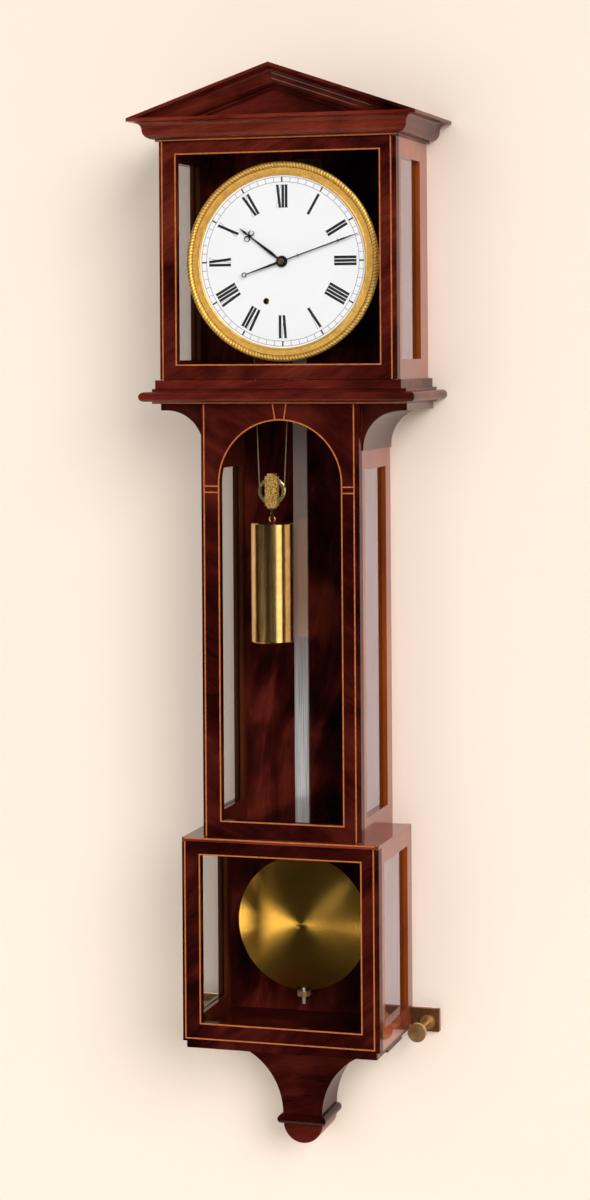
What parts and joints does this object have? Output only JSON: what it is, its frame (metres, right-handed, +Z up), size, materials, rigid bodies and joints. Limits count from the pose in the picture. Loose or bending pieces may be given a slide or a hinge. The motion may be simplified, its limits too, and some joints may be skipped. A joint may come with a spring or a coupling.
{
  "type": "regulator wall clock",
  "caption": "Glazed mahogany wall regulator with a pedimented head, narrow trunk and lower box, weight-driven movement, long pendulum and opening doors.",
  "frame": {"origin": "centre of the hanging hole, on the wall plane", "axes": "+Z up, +Y into the wall, -Y towards the room, +X to the right as seen from the front"},
  "size_m": [0.339, 0.1745, 1.2425],
  "materials": {
    "mahogany": "gloss",
    "mahogany_dark": "gloss",
    "stringing": "gloss",
    "window_glass": "gloss",
    "enamel": "gloss",
    "gilt_brass": "satin",
    "brass": "satin",
    "wheel_brass": "satin",
    "blued_steel": "gloss",
    "steel": "satin",
    "gut": "satin"
  },
  "bodies": {
    "case": {"backboard": "mahogany", "hanging_plate": "brass", "head_sides": "mahogany", "trunk_sides": "mahogany", "box_sides": "mahogany", "side_glass": "window_glass", "cornice": "mahogany", "roof": "mahogany", "pediment_moulding": "mahogany", "tympanum": "mahogany", "hood_floor": "mahogany", "waist_moulding": "mahogany", "case_stringing": "stringing", "consoles": "mahogany_dark", "box_top": "mahogany", "plinth": "mahogany", "drop": "mahogany_dark", "finial": "mahogany", "dial_back": "brass", "dial_enamel": "enamel", "bezel": "gilt_brass", "movement_posts": "brass", "movement_plates": "brass", "suspension_cock": "brass", "line_fall_left": "gut", "line_fall_right": "gut", "levelling_plates": "mahogany_dark"},
    "head_door": {"head_door_frame": "mahogany", "head_door_glass": "window_glass", "head_door_stringing": "stringing", "head_door_pins": "brass"},
    "trunk_door": {"trunk_door_frame": "mahogany", "trunk_door_glass": "window_glass", "trunk_door_stringing": "stringing", "trunk_door_pins": "brass"},
    "box_door": {"box_door_frame": "mahogany", "box_door_glass": "window_glass", "box_door_stringing": "stringing", "box_door_pins": "brass"},
    "pendulum": {"suspension_spring": "steel", "pendulum_rod": "steel", "bob": "gilt_brass"},
    "rating_nut_body": {"rating_nut": "brass"},
    "anchor_body": {"anchor": "steel"},
    "centre": {"centre_wheel": "wheel_brass", "minute_hand": "blued_steel"},
    "hour": {"hour_wheel": "wheel_brass", "hour_hand": "blued_steel"},
    "minute_wheel_body": {"minute_wheel": "wheel_brass"},
    "third": {"third_wheel": "wheel_brass"},
    "escape": {"escape_wheel": "wheel_brass"},
    "great": {"great_wheel": "wheel_brass"},
    "drum": {"barrel": "brass", "drum_line": "gut"},
    "weight_body": {"weight": "gilt_brass", "pulley_block": "gilt_brass", "line_bight": "gut"},
    "pulley": {"pulley_wheel": "gilt_brass"},
    "left_screw": {"levelling_screw_left": "brass"},
    "right_screw": {"levelling_screw_right": "brass"}
  },
  "joints": [
    {"name": "head_door_turn", "type": "hinge", "parent": "case", "child": "head_door", "pos_m": [0.137, -0.142, -0.112], "axis": [0, 0, 1], "range_deg": [0, 100]},
    {"name": "trunk_door_turn", "type": "hinge", "parent": "case", "child": "trunk_door", "pos_m": [0.0905, -0.136, -0.512], "axis": [0, 0, 1], "range_deg": [0, 100]},
    {"name": "box_door_turn", "type": "hinge", "parent": "case", "child": "box_door", "pos_m": [0.113, -0.147, -0.882], "axis": [0, 0, 1], "range_deg": [0, 100]},
    {"name": "pendulum_swing", "type": "hinge", "parent": "case", "child": "pendulum", "pos_m": [0, -0.055, -0.01511], "axis": [0, 1, 0], "range_deg": [-2, 2]},
    {"name": "rating_nut_turn", "type": "hinge", "parent": "pendulum", "child": "rating_nut_body", "pos_m": [0, -0.055, -0.962], "axis": [0, 0, 1], "continuous": true},
    {"name": "anchor_rock", "type": "hinge", "parent": "case", "child": "anchor_body", "pos_m": [0, -0.092, -0.01511], "axis": [0, 1, 0], "range_deg": [-2, 2]},
    {"name": "minute_turn", "type": "hinge", "parent": "case", "child": "centre", "pos_m": [0, -0.092, -0.112], "axis": [0, 1, 0], "continuous": true},
    {"name": "hour_turn", "type": "hinge", "parent": "case", "child": "hour", "pos_m": [0, -0.092, -0.112], "axis": [0, 1, 0], "continuous": true},
    {"name": "minute_wheel_turn", "type": "hinge", "parent": "case", "child": "minute_wheel_body", "pos_m": [0.01039, -0.092, -0.118], "axis": [0, 1, 0], "continuous": true},
    {"name": "third_turn", "type": "hinge", "parent": "case", "child": "third", "pos_m": [0.0094, -0.092, -0.081], "axis": [0, 1, 0], "continuous": true},
    {"name": "escape_turn", "type": "hinge", "parent": "case", "child": "escape", "pos_m": [0, -0.092, -0.05], "axis": [0, 1, 0], "continuous": true},
    {"name": "great_turn", "type": "hinge", "parent": "case", "child": "great", "pos_m": [-0.0195, -0.092, -0.157], "axis": [0, 1, 0], "continuous": true},
    {"name": "weight_fall", "type": "slide", "parent": "case", "child": "weight_body", "axis": [0, 0, 1], "range_m": [-0.43, 0.12], "deforming": ["line_fall_left", "line_fall_right"]},
    {"name": "drum_turn", "type": "hinge", "parent": "case", "child": "drum", "pos_m": [-0.0195, -0.092, -0.157], "axis": [0, 1, 0], "range_deg": [-1866, 524]},
    {"name": "pulley_turn", "type": "hinge", "parent": "weight_body", "child": "pulley", "pos_m": [-0.0235, -0.092, -0.375], "axis": [0, 1, 0], "range_deg": [-1672, 470]},
    {"name": "left_screw_travel", "type": "slide", "parent": "case", "child": "left_screw", "axis": [0, -1, 0], "range_m": [0, 0.012]},
    {"name": "right_screw_travel", "type": "slide", "parent": "case", "child": "right_screw", "axis": [0, -1, 0], "range_m": [0, 0.012]}
  ],
  "couplings": [
    {"joint": "anchor_rock", "follows": "pendulum_swing", "ratio": 1},
    {"joint": "hour_turn", "follows": "minute_turn", "ratio": 0.083333},
    {"joint": "minute_wheel_turn", "follows": "minute_turn", "ratio": -0.33333},
    {"joint": "third_turn", "follows": "minute_turn", "ratio": -8},
    {"joint": "escape_turn", "follows": "minute_turn", "ratio": 64},
    {"joint": "great_turn", "follows": "minute_turn", "ratio": -0.055556},
    {"joint": "drum_turn", "follows": "weight_fall", "rad_per_m": 75.472},
    {"joint": "pulley_turn", "follows": "weight_fall", "rad_per_m": 67.568}
  ]
}
